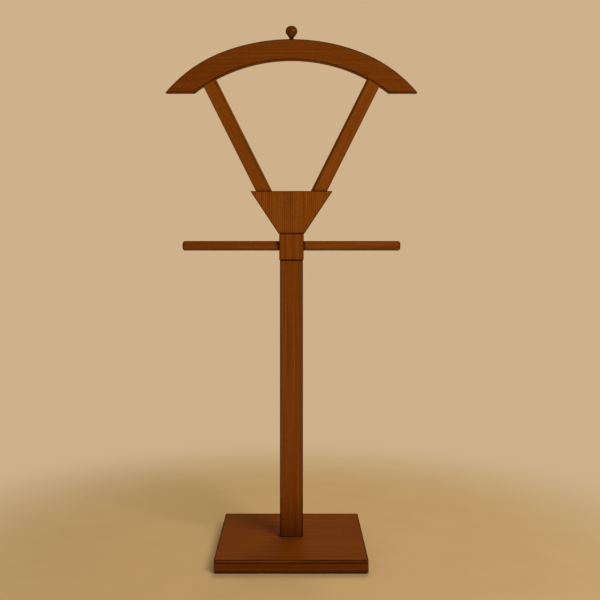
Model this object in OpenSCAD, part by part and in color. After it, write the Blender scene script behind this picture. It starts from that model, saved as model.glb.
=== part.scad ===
// Valet stand: a wooden clothes stand, held to its base by one bolt.
// A square two-layer base carries a slim post. A collar block on the post holds the round trouser bar.
// Above it a flared yoke holds two leaning arms, which carry the curved shoulder arch with its turned finial.
// Frame: origin on the floor under the centre of the base, +X to the right, +Y to the back, +Z up.

/* [Base] */
// Width of the base, left to right
base_w = 284; // [220:1:400]
// Depth of the base, front to back
base_d = 284; // [220:1:400]
// Thickness of the lower base board
board_t = 18.5; // [16:0.5:40]
// Thickness of the top panel, glued on the board
panel_t = 5.3; // [3:0.1:12]
// Radius of the upright corners of the base
base_corner_r = 3; // [1:0.5:12]
// Height and depth of the shadow groove under the top panel
groove = 1.6; // [0.5:0.1:3]
// Diameter of a felt pad
pad_d = 24; // [12:1:40]
// Thickness of a felt pad
pad_t = 2; // [1:0.5:6]
// Distance from a base edge to a felt pad's centre
pad_inset = 26; // [20:1:60]

/* [Post] */
// Width of the post, seen from the front
post_w = 45.5; // [38:0.5:70]
// Depth of the post, front to back
post_d = 28; // [24:0.5:60]
// Visible length of the post, base to collar
post_h = 548.1; // [350:0.1:900]
// Bevel on the upright edges of post and collar
arris = 1.2; // [0.4:0.1:3]

/* [Collar and trouser bar] */
// How far the collar stands proud of the post at each side
collar_proud_x = 1.4; // [0.5:0.1:6]
// How far the collar stands proud of the post at front and back
collar_proud_y = 3; // [1:0.5:10]
// Height of the collar block
collar_h = 52.3; // [48:0.1:90]
// Diameter of the trouser bar
bar_d = 19; // [14:0.5:23]
// Length of the trouser bar, end to end
bar_len = 433; // [250:1:600]
// Bevel on the bar's ends
bar_end_bevel = 3; // [0.5:0.5:5]
// Height of the bar's axis above the collar's underside
bar_rise = 28.1; // [26:0.1:34]

/* [Yoke] */
// Width of the yoke along its top
yoke_top_w = 163; // [130:0.1:240]
// How far the yoke's foot overhangs the collar at each side
yoke_overhang = 1.6; // [0:0.1:4]
// Height of the yoke
yoke_h = 84.1; // [60:0.1:140]
// Thickness of the yoke, front to back
yoke_d = 28; // [22:0.5:50]

/* [Arms] */
// Width of an arm, seen from the front
arm_w = 29; // [22:0.1:40]
// Thickness of an arm, front to back
arm_d = 18; // [14:0.5:24]
// Bevel on the inner edges of an arm
arm_inner_bevel = 3.5; // [0.5:0.5:5]
// Distance from the yoke's top corner to an arm's centre line
arm_foot_inset = 27.1; // [22:0.1:40]
// Distance from the arch's heel to an arm's centre line, level
arm_top_inset = 31; // [20:0.1:60]

/* [Shoulder arch] */
// Width of the arch, tip to tip
arch_w = 500; // [400:1:620]
// Thickness of the arch, front to back
arch_d = 18; // [14:0.5:40]
// Height from the arch's level ends to the top of its crown
arch_rise = 106; // [85:0.1:150]
// Width of the arch's band at its crown
arch_crown_t = 40.4; // [32:0.1:56]
// Length of each level end cut
arch_end_w = 56.1; // [38:0.1:80]
// Crown radius over that of a plain arc, 1 for a plain arc
crown_flatness = 1.1; // [1.01:0.01:1.2]
// Height of the crown's underside above the yoke
head_rise = 261.4; // [200:0.1:380]

/* [Finial] */
// Height of the finial above the crown
finial_h = 27.6; // [24:0.1:50]
// Radius of the finial's knob at its widest
finial_r = 11.8; // [9:0.1:13]
// Height of that widest place above the crown
finial_wide_h = 16.8; // [15:0.1:22]
// Radius of the flat on top of the knob
finial_flat_r = 3; // [1:0.1:5]
// Radius of the finial's neck
finial_neck_r = 4.5; // [3.5:0.1:6]
// Height of the finial's neck
finial_neck_h = 4.6; // [2:0.1:8]

/* [Dowels and fastenings] */
// Diameter of the dowels in post, collar and yoke
body_dowel_d = 8; // [6:1:10]
// Distance of those dowels from the centre line
body_dowel_x = 14; // [12:0.5:16]
// Depth of those dowels in the post and the yoke
body_dowel_deep = 24; // [14:1:35]
// Diameter of the dowels in the arms
arm_dowel_d = 6; // [4:1:8]
// Distance of those dowels from the arm's centre line
arm_dowel_x = 7.5; // [5:0.5:8]
// Depth of an arm's dowels at each side of the joint
arm_dowel_deep = 15; // [8:1:20]
// Wood left between a dowel's end and the trouser bar
dowel_web = 5; // [2:0.5:8]
// Thread diameter of the foot bolt
bolt_d = 8; // [6:1:10]
// Length of the insert nut in the post
insert_len = 20; // [12:1:30]
// Length of the screw that locks the trouser bar
lock_screw_len = 20; // [16:0.5:24]
// Shank diameter of that screw
lock_screw_d = 3.5; // [2.5:0.5:5]
// Diameter of the double-ended screw under the finial
stud_d = 4; // [3:0.5:6]
// Length of that screw in the finial, and in the arch
stud_deep = 13; // [8:0.5:16]
// Clearance all round a dowel, a screw or the bar
fit_gap = 0.1; // [0.05:0.05:0.3]

/* [Hidden] */
$fn = 96;
cut = 1;           // how far a cutting solid runs past the face that it cuts
far = 2000;        // larger than the whole stand

// Finishes
stain = "#6b340b";
stain_dark = "#532304";
raw_beech = "#c9a26b";
felt = "#3b2c22";
steel = "#a9adb3";
brass = "#b08a45";

// Heights of the faces where one piece stands on the next
board_z = pad_t;
panel_z = board_z + board_t;
base_top_z = panel_z + panel_t;
collar_z = base_top_z + post_h;
bar_z = collar_z + bar_rise;
yoke_z = collar_z + collar_h;
yoke_top_z = yoke_z + yoke_h;
crown_under_z = yoke_top_z + head_rise;
crown_z = crown_under_z + arch_crown_t;
arch_end_z = crown_z - arch_rise;

// Collar and yoke
collar_w = post_w + 2 * collar_proud_x;
collar_d = post_d + 2 * collar_proud_y;
yoke_foot_w = collar_w + 2 * yoke_overhang;

// The arch's underside is one arc through the crown's underside and the two heels
heel_x = arch_w / 2 - arch_end_w;
inner_sag = arch_rise - arch_crown_t;
inner_r = (heel_x * heel_x + inner_sag * inner_sag) / (2 * inner_sag);
inner_z = crown_under_z - inner_r;

// The arch's top is a flat crown arc that turns into a tighter shoulder arc at each side
tip_x = arch_w / 2;
plain_r = (tip_x * tip_x + arch_rise * arch_rise) / (2 * arch_rise);
crown_r = crown_flatness * plain_r;
turn_share = 0.46;  // of the plain arc's half angle, where the shoulder arc begins
turn_angle = turn_share * asin(tip_x / plain_r);
turn_dir = [sin(turn_angle), cos(turn_angle)];
tip_from_centre = [tip_x, crown_r - arch_rise];
shoulder_r = pow(norm(tip_from_centre - crown_r * turn_dir), 2) / (2 * (crown_r - tip_from_centre * turn_dir));
shoulder_at = (crown_r - shoulder_r) * turn_dir;
crown_centre_z = crown_z - crown_r;

// Each arm runs from the yoke's top to the arch's underside
arm_foot_x = yoke_top_w / 2 - arm_foot_inset;
arm_top_x = heel_x - arm_top_inset;
arm_top_z = inner_z + sqrt(inner_r * inner_r - arm_top_x * arm_top_x);
arm_lean = atan((arm_top_x - arm_foot_x) / (arm_top_z - yoke_top_z));
arm_len = norm([arm_top_x - arm_foot_x, arm_top_z - yoke_top_z]);

// The body dowels stop short of the trouser bar
neck_dowel_up = bar_rise - bar_d / 2 - dowel_web;
yoke_dowel_down = collar_h - bar_rise - bar_d / 2 - dowel_web;

// Foot bolt, from the counterbore under the board into the nut in the post
bolt_head_d = 1.6 * bolt_d;
bolt_head_h = bolt_d;
washer_d = 2.5 * bolt_d;
washer_t = 1.6;
bolt_recess = 0.4;      // from the board's underside to the bolt's head
counterbore_d = washer_d + 2;
counterbore_h = bolt_recess + bolt_head_h + washer_t;
bolt_hole_d = bolt_d + 1;
bolt_seat_z = board_z + counterbore_h;
bolt_top_z = base_top_z + insert_len - 1;
insert_d = 1.5 * bolt_d;
foot_dowel_down = 12;
dowel_edge = 3;         // least wood beside a foot dowel
foot_dowel_d = min(body_dowel_d, (post_w - insert_d) / 2 - 2 * dowel_edge);
foot_dowel_x = (post_w + insert_d) / 4;

// The finial stands in a shallow seat, cut flat into the crown
finial_seat = 0.6;

// Lock screw, driven from the back of the collar into the bar
lock_head_d = 2 * lock_screw_d;
lock_head_h = (lock_head_d - lock_screw_d) / 2;
lock_tip_h = 3;

// A rectangle with beveled corners, centred
module beveled_rect(w, d, c) {
    polygon([
        [-w / 2 + c, -d / 2], [w / 2 - c, -d / 2], [w / 2, -d / 2 + c], [w / 2, d / 2 - c],
        [w / 2 - c, d / 2], [-w / 2 + c, d / 2], [-w / 2, d / 2 - c], [-w / 2, -d / 2 + c],
    ]);
}

// A slab with round upright corners, standing on z = 0
module round_corner_slab(w, d, t, r) {
    linear_extrude(t) {
        square([w - 2 * r, d], center = true);
        square([w, d - 2 * r], center = true);
        for (x = [-1, 1], y = [-1, 1]) {
            translate([x * (w / 2 - r), y * (d / 2 - r)]) circle(r);
        }
    }
}

// A front-view outline with thickness d, centred on the middle plane
module plate(d) {
    translate([0, d / 2, 0]) rotate([90, 0, 0]) linear_extrude(d) children();
}

// A round peg or hole along z, from z0 to z1
module peg(d, z0, z1) {
    translate([0, 0, z0]) cylinder(d = d, h = z1 - z0);
}

// Its children at the left and at the right of the centre line
module pair(x) {
    for (side = [-1, 1]) translate([side * x, 0, 0]) children();
}

// Its children in the right arm's own frame: z along the arm, x across it and outwards
module arm_frame(side) {
    mirror([side < 0 ? 1 : 0, 0, 0])
        translate([arm_foot_x, 0, yoke_top_z]) rotate([0, arm_lean, 0]) children();
}

module felt_pad(side_x, side_y) {
    color(felt)
        translate([side_x * (base_w / 2 - pad_inset), side_y * (base_d / 2 - pad_inset), 0])
            cylinder(d = pad_d, h = pad_t);
}

module foot_dowel_holes(gap) {
    pair(foot_dowel_x)
        peg(foot_dowel_d + 2 * gap, base_top_z - foot_dowel_down - gap, base_top_z + body_dowel_deep + gap);
}

module base_board() {
    color(stain_dark) difference() {
        translate([0, 0, board_z]) {
            round_corner_slab(base_w, base_d, board_t - groove, base_corner_r);
            round_corner_slab(base_w - 2 * groove, base_d - 2 * groove, board_t, base_corner_r);
        }
        peg(counterbore_d, board_z - cut, bolt_seat_z);
        peg(bolt_hole_d, board_z, panel_z + cut);
        foot_dowel_holes(fit_gap);
    }
}

module base_top_panel() {
    color(stain) difference() {
        translate([0, 0, panel_z]) round_corner_slab(base_w, base_d, panel_t, base_corner_r);
        peg(bolt_hole_d, panel_z - cut, base_top_z + cut);
        foot_dowel_holes(fit_gap);
    }
}

module foot_bolt() {
    head_z = board_z + bolt_recess;
    socket_across = 0.75 * bolt_d;
    color(steel) difference() {
        union() {
            peg(bolt_head_d, head_z, head_z + bolt_head_h);
            peg(bolt_d, head_z, bolt_top_z);
        }
        translate([0, 0, head_z - cut])
            cylinder(d = socket_across / cos(30), h = bolt_head_h / 2 + cut, $fn = 6);
    }
}

module foot_washer() {
    color(steel) difference() {
        peg(washer_d, bolt_seat_z - washer_t, bolt_seat_z);
        peg(bolt_d + 4 * fit_gap, bolt_seat_z - washer_t - cut, bolt_seat_z + cut);
    }
}

module insert_nut() {
    color(brass) difference() {
        peg(insert_d, base_top_z, base_top_z + insert_len);
        peg(bolt_d + 2 * fit_gap, base_top_z - cut, base_top_z + insert_len + cut);
    }
}

module foot_dowels() {
    color(raw_beech) foot_dowel_holes(0);
}

module neck_dowel_holes(gap) {
    pair(body_dowel_x)
        peg(body_dowel_d + 2 * gap, collar_z - body_dowel_deep - gap, collar_z + neck_dowel_up + gap);
}

module yoke_dowel_holes(gap) {
    pair(body_dowel_x)
        peg(body_dowel_d + 2 * gap, yoke_z - yoke_dowel_down - gap, yoke_z + body_dowel_deep + gap);
}

module post() {
    color(stain) difference() {
        translate([0, 0, base_top_z]) linear_extrude(post_h) beveled_rect(post_w, post_d, arris);
        peg(insert_d + 2 * fit_gap, base_top_z - cut, base_top_z + insert_len + fit_gap);
        foot_dowel_holes(fit_gap);
        neck_dowel_holes(fit_gap);
    }
}

module neck_dowels() {
    color(raw_beech) neck_dowel_holes(0);
}

module yoke_dowels() {
    color(raw_beech) yoke_dowel_holes(0);
}

// The lock screw, or the hole for it with a gap and a mouth, from the collar's back into the bar
module lock_screw_outline(gap, mouth) {
    head_r = lock_head_d / 2 + gap;
    shank_r = lock_screw_d / 2 + gap;
    translate([0, collar_d / 2, bar_z]) rotate([90, 0, 0]) rotate_extrude() polygon(concat(
        [[0, -mouth], [head_r, -mouth]],
        mouth > 0 ? [[head_r, 0]] : [],
        [[shank_r, lock_head_h], [shank_r, lock_screw_len - lock_tip_h], [0, lock_screw_len + gap]]
    ));
}

module bar_lock_screw() {
    slot_w = 0.9;
    slot_h = 1;
    color(steel) difference() {
        lock_screw_outline(0, 0);
        for (turn = [0, 90]) {
            translate([0, collar_d / 2, bar_z]) rotate([0, turn, 0])
                cube([0.6 * lock_head_d, 2 * slot_h, slot_w], center = true);
        }
    }
}

module bar_outline(d, len, bevel) {
    rotate([0, 90, 0]) rotate_extrude() polygon([
        [0, -len / 2], [d / 2 - bevel, -len / 2], [d / 2, -len / 2 + bevel],
        [d / 2, len / 2 - bevel], [d / 2 - bevel, len / 2], [0, len / 2],
    ]);
}

module trouser_bar() {
    color(stain) difference() {
        translate([0, 0, bar_z]) bar_outline(bar_d, bar_len, bar_end_bevel);
        lock_screw_outline(fit_gap, cut);
    }
}

module collar_block() {
    color(stain) difference() {
        intersection() {
            translate([0, 0, collar_z]) linear_extrude(collar_h) beveled_rect(collar_w, collar_d, arris);
            translate([0, 0, collar_z + collar_h / 2]) plate(collar_d + 2 * cut)
                beveled_rect(collar_w, collar_h, arris);
            translate([-far / 2, 0, collar_z + collar_h / 2]) rotate([90, 0, 90]) linear_extrude(far)
                beveled_rect(collar_d, collar_h, arris);
        }
        translate([0, 0, bar_z]) rotate([0, 90, 0])
            cylinder(d = bar_d + 2 * fit_gap, h = collar_w + 2 * cut, center = true);
        lock_screw_outline(fit_gap, cut);
        neck_dowel_holes(fit_gap);
        yoke_dowel_holes(fit_gap);
    }
}

// The dowels at an arm's foot and at its top, in the arm's own frame
module arm_foot_dowel_holes(gap) {
    pair(arm_dowel_x) peg(arm_dowel_d + 2 * gap, -arm_dowel_deep - gap, arm_dowel_deep + gap);
}

module arm_top_dowel_holes(gap) {
    pair(arm_dowel_x)
        peg(arm_dowel_d + 2 * gap, arm_len - arm_dowel_deep - gap, arm_len + arm_dowel_deep + gap);
}

module yoke() {
    color(stain) difference() {
        plate(yoke_d) polygon([
            [-yoke_foot_w / 2, yoke_z], [yoke_foot_w / 2, yoke_z],
            [yoke_top_w / 2, yoke_top_z], [-yoke_top_w / 2, yoke_top_z],
        ]);
        yoke_dowel_holes(fit_gap);
        for (side = [-1, 1]) arm_frame(side) arm_foot_dowel_holes(fit_gap);
    }
}

// An arm's section: the inner edges carry a wide bevel, the outer edges a fine one
module arm_section() {
    polygon([
        [-arm_w / 2 + arm_inner_bevel, -arm_d / 2], [arm_w / 2 - arris, -arm_d / 2],
        [arm_w / 2, -arm_d / 2 + arris], [arm_w / 2, arm_d / 2 - arris],
        [arm_w / 2 - arris, arm_d / 2], [-arm_w / 2 + arm_inner_bevel, arm_d / 2],
        [-arm_w / 2, arm_d / 2 - arm_inner_bevel], [-arm_w / 2, -arm_d / 2 + arm_inner_bevel],
    ]);
}

// The arm is cut level where it stands on the yoke and hollow where it meets the arch
module arm(side) {
    spare = arm_w;  // extra length that the two end cuts remove
    color(stain) difference() {
        intersection() {
            arm_frame(side) translate([0, 0, -spare]) linear_extrude(arm_len + 2 * spare) arm_section();
            translate([-far / 2, -arm_d, yoke_top_z]) cube([far, 2 * arm_d, far]);
            translate([0, 0, inner_z]) rotate([90, 0, 0])
                cylinder(r = inner_r, h = 2 * arm_d, center = true, $fn = 256);
        }
        arm_frame(side) {
            arm_foot_dowel_holes(fit_gap);
            arm_top_dowel_holes(fit_gap);
        }
    }
}

module arm_foot_dowels(side) {
    color(raw_beech) arm_frame(side) arm_foot_dowel_holes(0);
}

module arm_top_dowels(side) {
    color(raw_beech) arm_frame(side) arm_top_dowel_holes(0);
}

// The arch's front view: crown disc within the crown's angle, and a shoulder disc at each side
module arch_outline() {
    reach = 2 * crown_r;
    difference() {
        union() {
            translate([0, crown_centre_z]) intersection() {
                circle(crown_r, $fn = 256);
                polygon([[0, 0], reach * turn_dir, [0, reach], [-reach * turn_dir[0], reach * turn_dir[1]]]);
            }
            for (side = [-1, 1]) {
                translate([side * shoulder_at[0], crown_centre_z + shoulder_at[1]])
                    circle(shoulder_r, $fn = 256);
            }
        }
        translate([0, inner_z]) circle(inner_r, $fn = 256);
        translate([-far, arch_end_z - 2 * far]) square(2 * far);
    }
}

module shoulder_arch() {
    color(stain) difference() {
        plate(arch_d) arch_outline();
        for (side = [-1, 1]) arm_frame(side) arm_top_dowel_holes(fit_gap);
        peg(stud_d + 2 * fit_gap, crown_z - stud_deep - fit_gap, crown_z + cut);
        peg(2 * (finial_neck_r + fit_gap), crown_z - finial_seat, crown_z + cut);
    }
}

// The finial's turned profile: neck, flaring cone, rounded shoulder, flattened dome
module finial_outline() {
    shoulder = 0.63 * finial_r;     // radius of the curve from the cone to the widest place
    flare = 37;                     // angle of the cone from the axis
    step = 6;                       // angle between two points of a curve
    dome = [finial_r - finial_flat_r, finial_h - finial_wide_h];
    polygon(concat(
        [[0, -finial_seat], [finial_neck_r, -finial_seat], [finial_neck_r, finial_neck_h]],
        [for (a = [flare : -step : 1])
            [finial_r - shoulder * (1 - cos(a)), finial_wide_h - shoulder * sin(a)]],
        [for (a = [0 : step : 90]) [finial_flat_r + dome[0] * cos(a), finial_wide_h + dome[1] * sin(a)]],
        [[0, finial_h]]
    ));
}

module finial() {
    color(stain) difference() {
        translate([0, 0, crown_z]) rotate_extrude() finial_outline();
        peg(stud_d + 2 * fit_gap, crown_z - cut, crown_z + stud_deep + fit_gap);
    }
}

module finial_stud() {
    color(steel) peg(stud_d, crown_z - stud_deep, crown_z + stud_deep);
}

base_board();
base_top_panel();
felt_pad(-1, -1);  // felt_pad_front_left
felt_pad(1, -1);  // felt_pad_front_right
felt_pad(-1, 1);  // felt_pad_back_left
felt_pad(1, 1);  // felt_pad_back_right
foot_bolt();
foot_washer();
insert_nut();
foot_dowels();
post();
neck_dowels();
collar_block();
trouser_bar();
bar_lock_screw();
yoke_dowels();
yoke();
arm(-1);  // left_arm
arm(1);  // right_arm
arm_foot_dowels(-1);  // left_arm_foot_dowels
arm_foot_dowels(1);  // right_arm_foot_dowels
arm_top_dowels(-1);  // left_arm_top_dowels
arm_top_dowels(1);  // right_arm_top_dowels
shoulder_arch();
finial();
finial_stud();
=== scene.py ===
"""Valet stand in stained wood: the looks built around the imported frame.

The stand is made of three sub-assemblies, a base, a column and a head, each a class that builds its own
pieces from the frame's boxes and dresses them. Everything is in metres, +X right, +Y back, +Z up.
"""

import logging
import math
from collections.abc import Callable, Iterable
from dataclasses import dataclass, field
from enum import Enum

import bmesh
import bpy
from bmesh.types import BMEdge, BMesh, BMFace
from bpy.types import Material, Mesh, Node, NodeSocket, NodeTree, Object
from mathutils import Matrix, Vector

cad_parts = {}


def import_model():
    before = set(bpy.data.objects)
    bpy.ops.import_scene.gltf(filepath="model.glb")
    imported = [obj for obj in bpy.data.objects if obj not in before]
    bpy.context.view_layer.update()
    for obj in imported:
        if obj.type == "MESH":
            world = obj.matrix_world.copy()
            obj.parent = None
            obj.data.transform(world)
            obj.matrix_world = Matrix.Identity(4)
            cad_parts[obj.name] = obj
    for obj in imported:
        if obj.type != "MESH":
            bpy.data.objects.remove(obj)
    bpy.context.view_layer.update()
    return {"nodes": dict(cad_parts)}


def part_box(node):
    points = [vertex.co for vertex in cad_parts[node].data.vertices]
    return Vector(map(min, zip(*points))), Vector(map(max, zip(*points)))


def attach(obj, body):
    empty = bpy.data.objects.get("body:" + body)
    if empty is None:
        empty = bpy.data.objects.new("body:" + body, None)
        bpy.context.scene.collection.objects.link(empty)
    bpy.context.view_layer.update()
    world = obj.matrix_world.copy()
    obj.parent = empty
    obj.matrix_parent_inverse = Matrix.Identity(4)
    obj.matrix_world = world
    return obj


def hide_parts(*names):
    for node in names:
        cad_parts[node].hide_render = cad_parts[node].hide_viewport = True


log = logging.getLogger("valet_stand")

MM = 0.001
BODY = "root"
PAINTED_SHADING = "arris"  # mesh attribute that places painted shade and painted highlight: 0 on a face, 1 where an eased edge starts, 2 along its middle
TURN_RADIUS = "turn_radius"  # mesh attribute: a turned piece's radius at each point of its axis
WELD = 0.002 * MM  # vertices closer than this are one
SHADE_BAND = 1.1 * MM  # how far painted shade on an edge reaches into the faces beside it
BORDER_SHARE = 0.2  # the most of a face's breadth that its border takes
BORDER_LEAST = 1.25  # a border narrower than this many times the rounding is left out
EASE_SEGMENTS = 4  # flats that make a board's rounded edge
ROUND_STEPS = 6  # flats that make a slab's rounded edge
CRISP = 50.0  # degrees between two faces past which the edge of a slab or a turned piece stays crisp

Triple = tuple[float, float, float]
Colour = Triple

# the wood's patterns: features for each metre along the grain and, twice, across it
FIBRES: Triple = (5.0, 470.0, 470.0)
STRANDS: Triple = (2.6, 95.0, 95.0)
CLOUDS: Triple = (2.0, 9.0, 9.0)
PORES: Triple = (110.0, 2300.0, 2300.0)
# patches over which the painted edge shade and painted highlight vary
SHADE_PATCHES: Triple = (14.0, 40.0, 40.0)

# how much each pattern moves the stain's tone, and how far the tone strays to either side of its middle
RING_TONE = 0.10
FIBRE_TONE = 0.66
STRAND_TONE = 0.09
CLOUD_TONE = 0.15
TONE_REACH = 0.26


class Grain(Enum):
    """Which way a board's grain runs, as the turn about Y that brings it onto X."""

    LEVEL = 0.0
    UPRIGHT = math.pi / 2


class Slot(Enum):
    """Material slots for the finishes."""

    STAINED_WOOD = "stained_wood"
    RAW_BEECH = "raw_beech"
    ZINC_STEEL = "zinc_steel"
    BRASS = "brass"
    FELT = "felt"


# --------------------------------------------------------------------------------------------------------
# Node trees
# --------------------------------------------------------------------------------------------------------


@dataclass
class Bench:
    """A node tree with short calls that add, set and join nodes."""

    tree: NodeTree

    def add(self, kind: str, inputs: dict | None = None, **settings: object) -> Node:
        """Adds a node.

        Args:
            kind: the node's type name.
            inputs: value or socket for each input, by the input's name or number.
            settings: the node's own properties.

        Returns:
            The new node.
        """
        node = self.tree.nodes.new(kind)
        for name, value in settings.items():
            setattr(node, name, value)
        for name, value in (inputs or {}).items():
            self.feed(node.inputs[name], value)
        return node

    def feed(self, socket: NodeSocket, value: object) -> None:
        """Joins a socket to another one, or sets its value.

        Args:
            socket: the input to feed.
            value: the socket that feeds it, or its value.
        """
        if isinstance(value, NodeSocket):
            self.tree.links.new(value, socket)
        else:
            socket.default_value = value

    def math(self, operation: str, *values: object) -> NodeSocket:
        """A math node's result, from sockets or plain numbers."""
        node = self.add("ShaderNodeMath", dict(enumerate(values)), operation=operation)
        return node.outputs[0]

    def vector(self, operation: str, *values: object) -> NodeSocket:
        """A vector math node's result."""
        node = self.add("ShaderNodeVectorMath", dict(enumerate(values)), operation=operation)
        return node.outputs[0]

    def ramp(self, factor: NodeSocket, stops: Iterable[tuple[float, Colour]]) -> NodeSocket:
        """A colour ramp.

        Args:
            factor: what places a point on the ramp, 0 to 1.
            stops: position and colour of each stop, in order.

        Returns:
            The ramp's colour socket.
        """
        node = self.add("ShaderNodeValToRGB", {"Fac": factor})
        elements = node.color_ramp.elements
        stops = list(stops)
        while len(elements) < len(stops):
            elements.new(1.0)
        for element, (position, colour) in zip(elements, stops):
            element.position = position
            element.color = (*colour, 1.0)
        return node.outputs["Color"]

    def span(
        self, value: NodeSocket, low: float, high: float, to_low: float = 0.0, to_high: float = 1.0
    ) -> NodeSocket:
        """A value moved from one range to another, and held inside it.

        Args:
            value: the value's socket.
            low: where its range starts.
            high: where its range ends.
            to_low: what low becomes.
            to_high: what high becomes.

        Returns:
            The new value's socket.
        """
        limits = {"From Min": low, "From Max": high, "To Min": to_low, "To Max": to_high}
        return self.add("ShaderNodeMapRange", {"Value": value, **limits}).outputs["Result"]

    def blend(self, factor: object, a: object, b: object) -> NodeSocket:
        """Colour a turned to colour b.

        Args:
            factor: how much of b there is, 0 to 1.
            a: the first colour, or its socket.
            b: the second one.

        Returns:
            The blended colour's socket.
        """
        node = self.add("ShaderNodeMix", data_type="RGBA")
        for name, value in (("Factor", factor), ("A", a), ("B", b)):
            socket = next(s for s in node.inputs if s.name == name and s.enabled)
            self.feed(socket, (*value, 1.0) if isinstance(value, tuple) else value)
        return next(s for s in node.outputs if s.enabled)

    def noise(
        self, place: NodeSocket, scale: float, detail: float = 2.0, **more: object
    ) -> NodeSocket:
        """A noise texture.

        Args:
            place: where each point lies.
            scale: features for each metre.
            detail: how many finer layers it has.
            more: value of each other input, by its name in lower case.

        Returns:
            The noise's value socket, 0 to 1.
        """
        inputs = {"Vector": place, "Scale": scale, "Detail": detail}
        inputs.update({name.capitalize(): value for name, value in more.items()})
        return self.add("ShaderNodeTexNoise", inputs).outputs["Fac"]

    def stretched(
        self, place: NodeSocket, fineness: Triple, detail: float = 2.0, **more: object
    ) -> NodeSocket:
        """A noise texture with its own fineness, in features for each metre, along X, Y and Z."""
        return self.noise(self.vector("MULTIPLY", place, fineness), 1.0, detail, **more)

    def total(self, parts: Iterable[tuple[NodeSocket, float]]) -> NodeSocket:
        """A weighted sum.

        Args:
            parts: each part's socket and its weight.

        Returns:
            The sum's socket.
        """
        first, *rest = (self.math("MULTIPLY", socket, weight) for socket, weight in parts)
        for part in rest:
            first = self.math("ADD", first, part)
        return first

    def place(self) -> NodeSocket:
        """Object coordinates, which are the stand's own."""
        return self.add("ShaderNodeTexCoord").outputs["Object"]

    def finish(
        self,
        shader: Node,
        colour: NodeSocket,
        roughness: NodeSocket,
        height: NodeSocket,
        strength: float,
        depth: float,
    ) -> None:
        """Joins a finish's colour, roughness and relief to its shader.

        Args:
            shader: the material's shader node.
            colour: socket of the base colour.
            roughness: socket of the roughness.
            height: socket of the relief's height, 0 to 1.
            strength: the relief's strength, 0 to 1.
            depth: the relief's depth.
        """
        self.feed(shader.inputs["Base Color"], colour)
        self.feed(shader.inputs["Roughness"], roughness)
        bump = self.add("ShaderNodeBump", {"Strength": strength, "Distance": depth, "Height": height})
        self.feed(shader.inputs["Normal"], bump.outputs["Normal"])


def new_material(name: str) -> tuple[Material, Bench, Node]:
    """An empty material.

    Args:
        name: the material's name.

    Returns:
        The material, the bench on its node tree, and its shader node.
    """
    material = bpy.data.materials.new(name)
    material.use_nodes = True
    material.node_tree.nodes.clear()
    bench = Bench(material.node_tree)
    shader = bench.add("ShaderNodeBsdfPrincipled")
    bench.add("ShaderNodeOutputMaterial", {"Surface": shader.outputs["BSDF"]})
    return material, bench, shader


def new_geometry_tree(name: str, inputs: dict[str, str]) -> tuple[Bench, Node, Node]:
    """A geometry node tree with named inputs.

    Args:
        name: the tree's name.
        inputs: socket type of each input by its name, in order.

    Returns:
        The bench on the tree, its input node and its output node.
    """
    tree = bpy.data.node_groups.new(name, "GeometryNodeTree")
    tree.interface.new_socket("Geometry", in_out="OUTPUT", socket_type="NodeSocketGeometry")
    for label, kind in inputs.items():
        tree.interface.new_socket(label, in_out="INPUT", socket_type=kind)
    bench = Bench(tree)
    return bench, bench.add("NodeGroupInput"), bench.add("NodeGroupOutput")


def run_tree(piece: Object, tree: NodeTree, values: dict[str, object]) -> Object:
    """Runs a geometry node tree on a piece and keeps the result as its plain mesh.

    Args:
        piece: the object that the tree works on.
        tree: the tree.
        values: value of each of the tree's inputs, by name.

    Returns:
        The piece, with no modifier left.
    """
    modifier = piece.modifiers.new(tree.name, "NODES")
    modifier.node_group = tree
    for item in tree.interface.items_tree:
        if item.item_type == "SOCKET" and item.in_out == "INPUT" and item.name in values:
            modifier[item.identifier] = values[item.name]
    return settle(piece)


# --------------------------------------------------------------------------------------------------------
# Finishes
# --------------------------------------------------------------------------------------------------------


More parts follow.
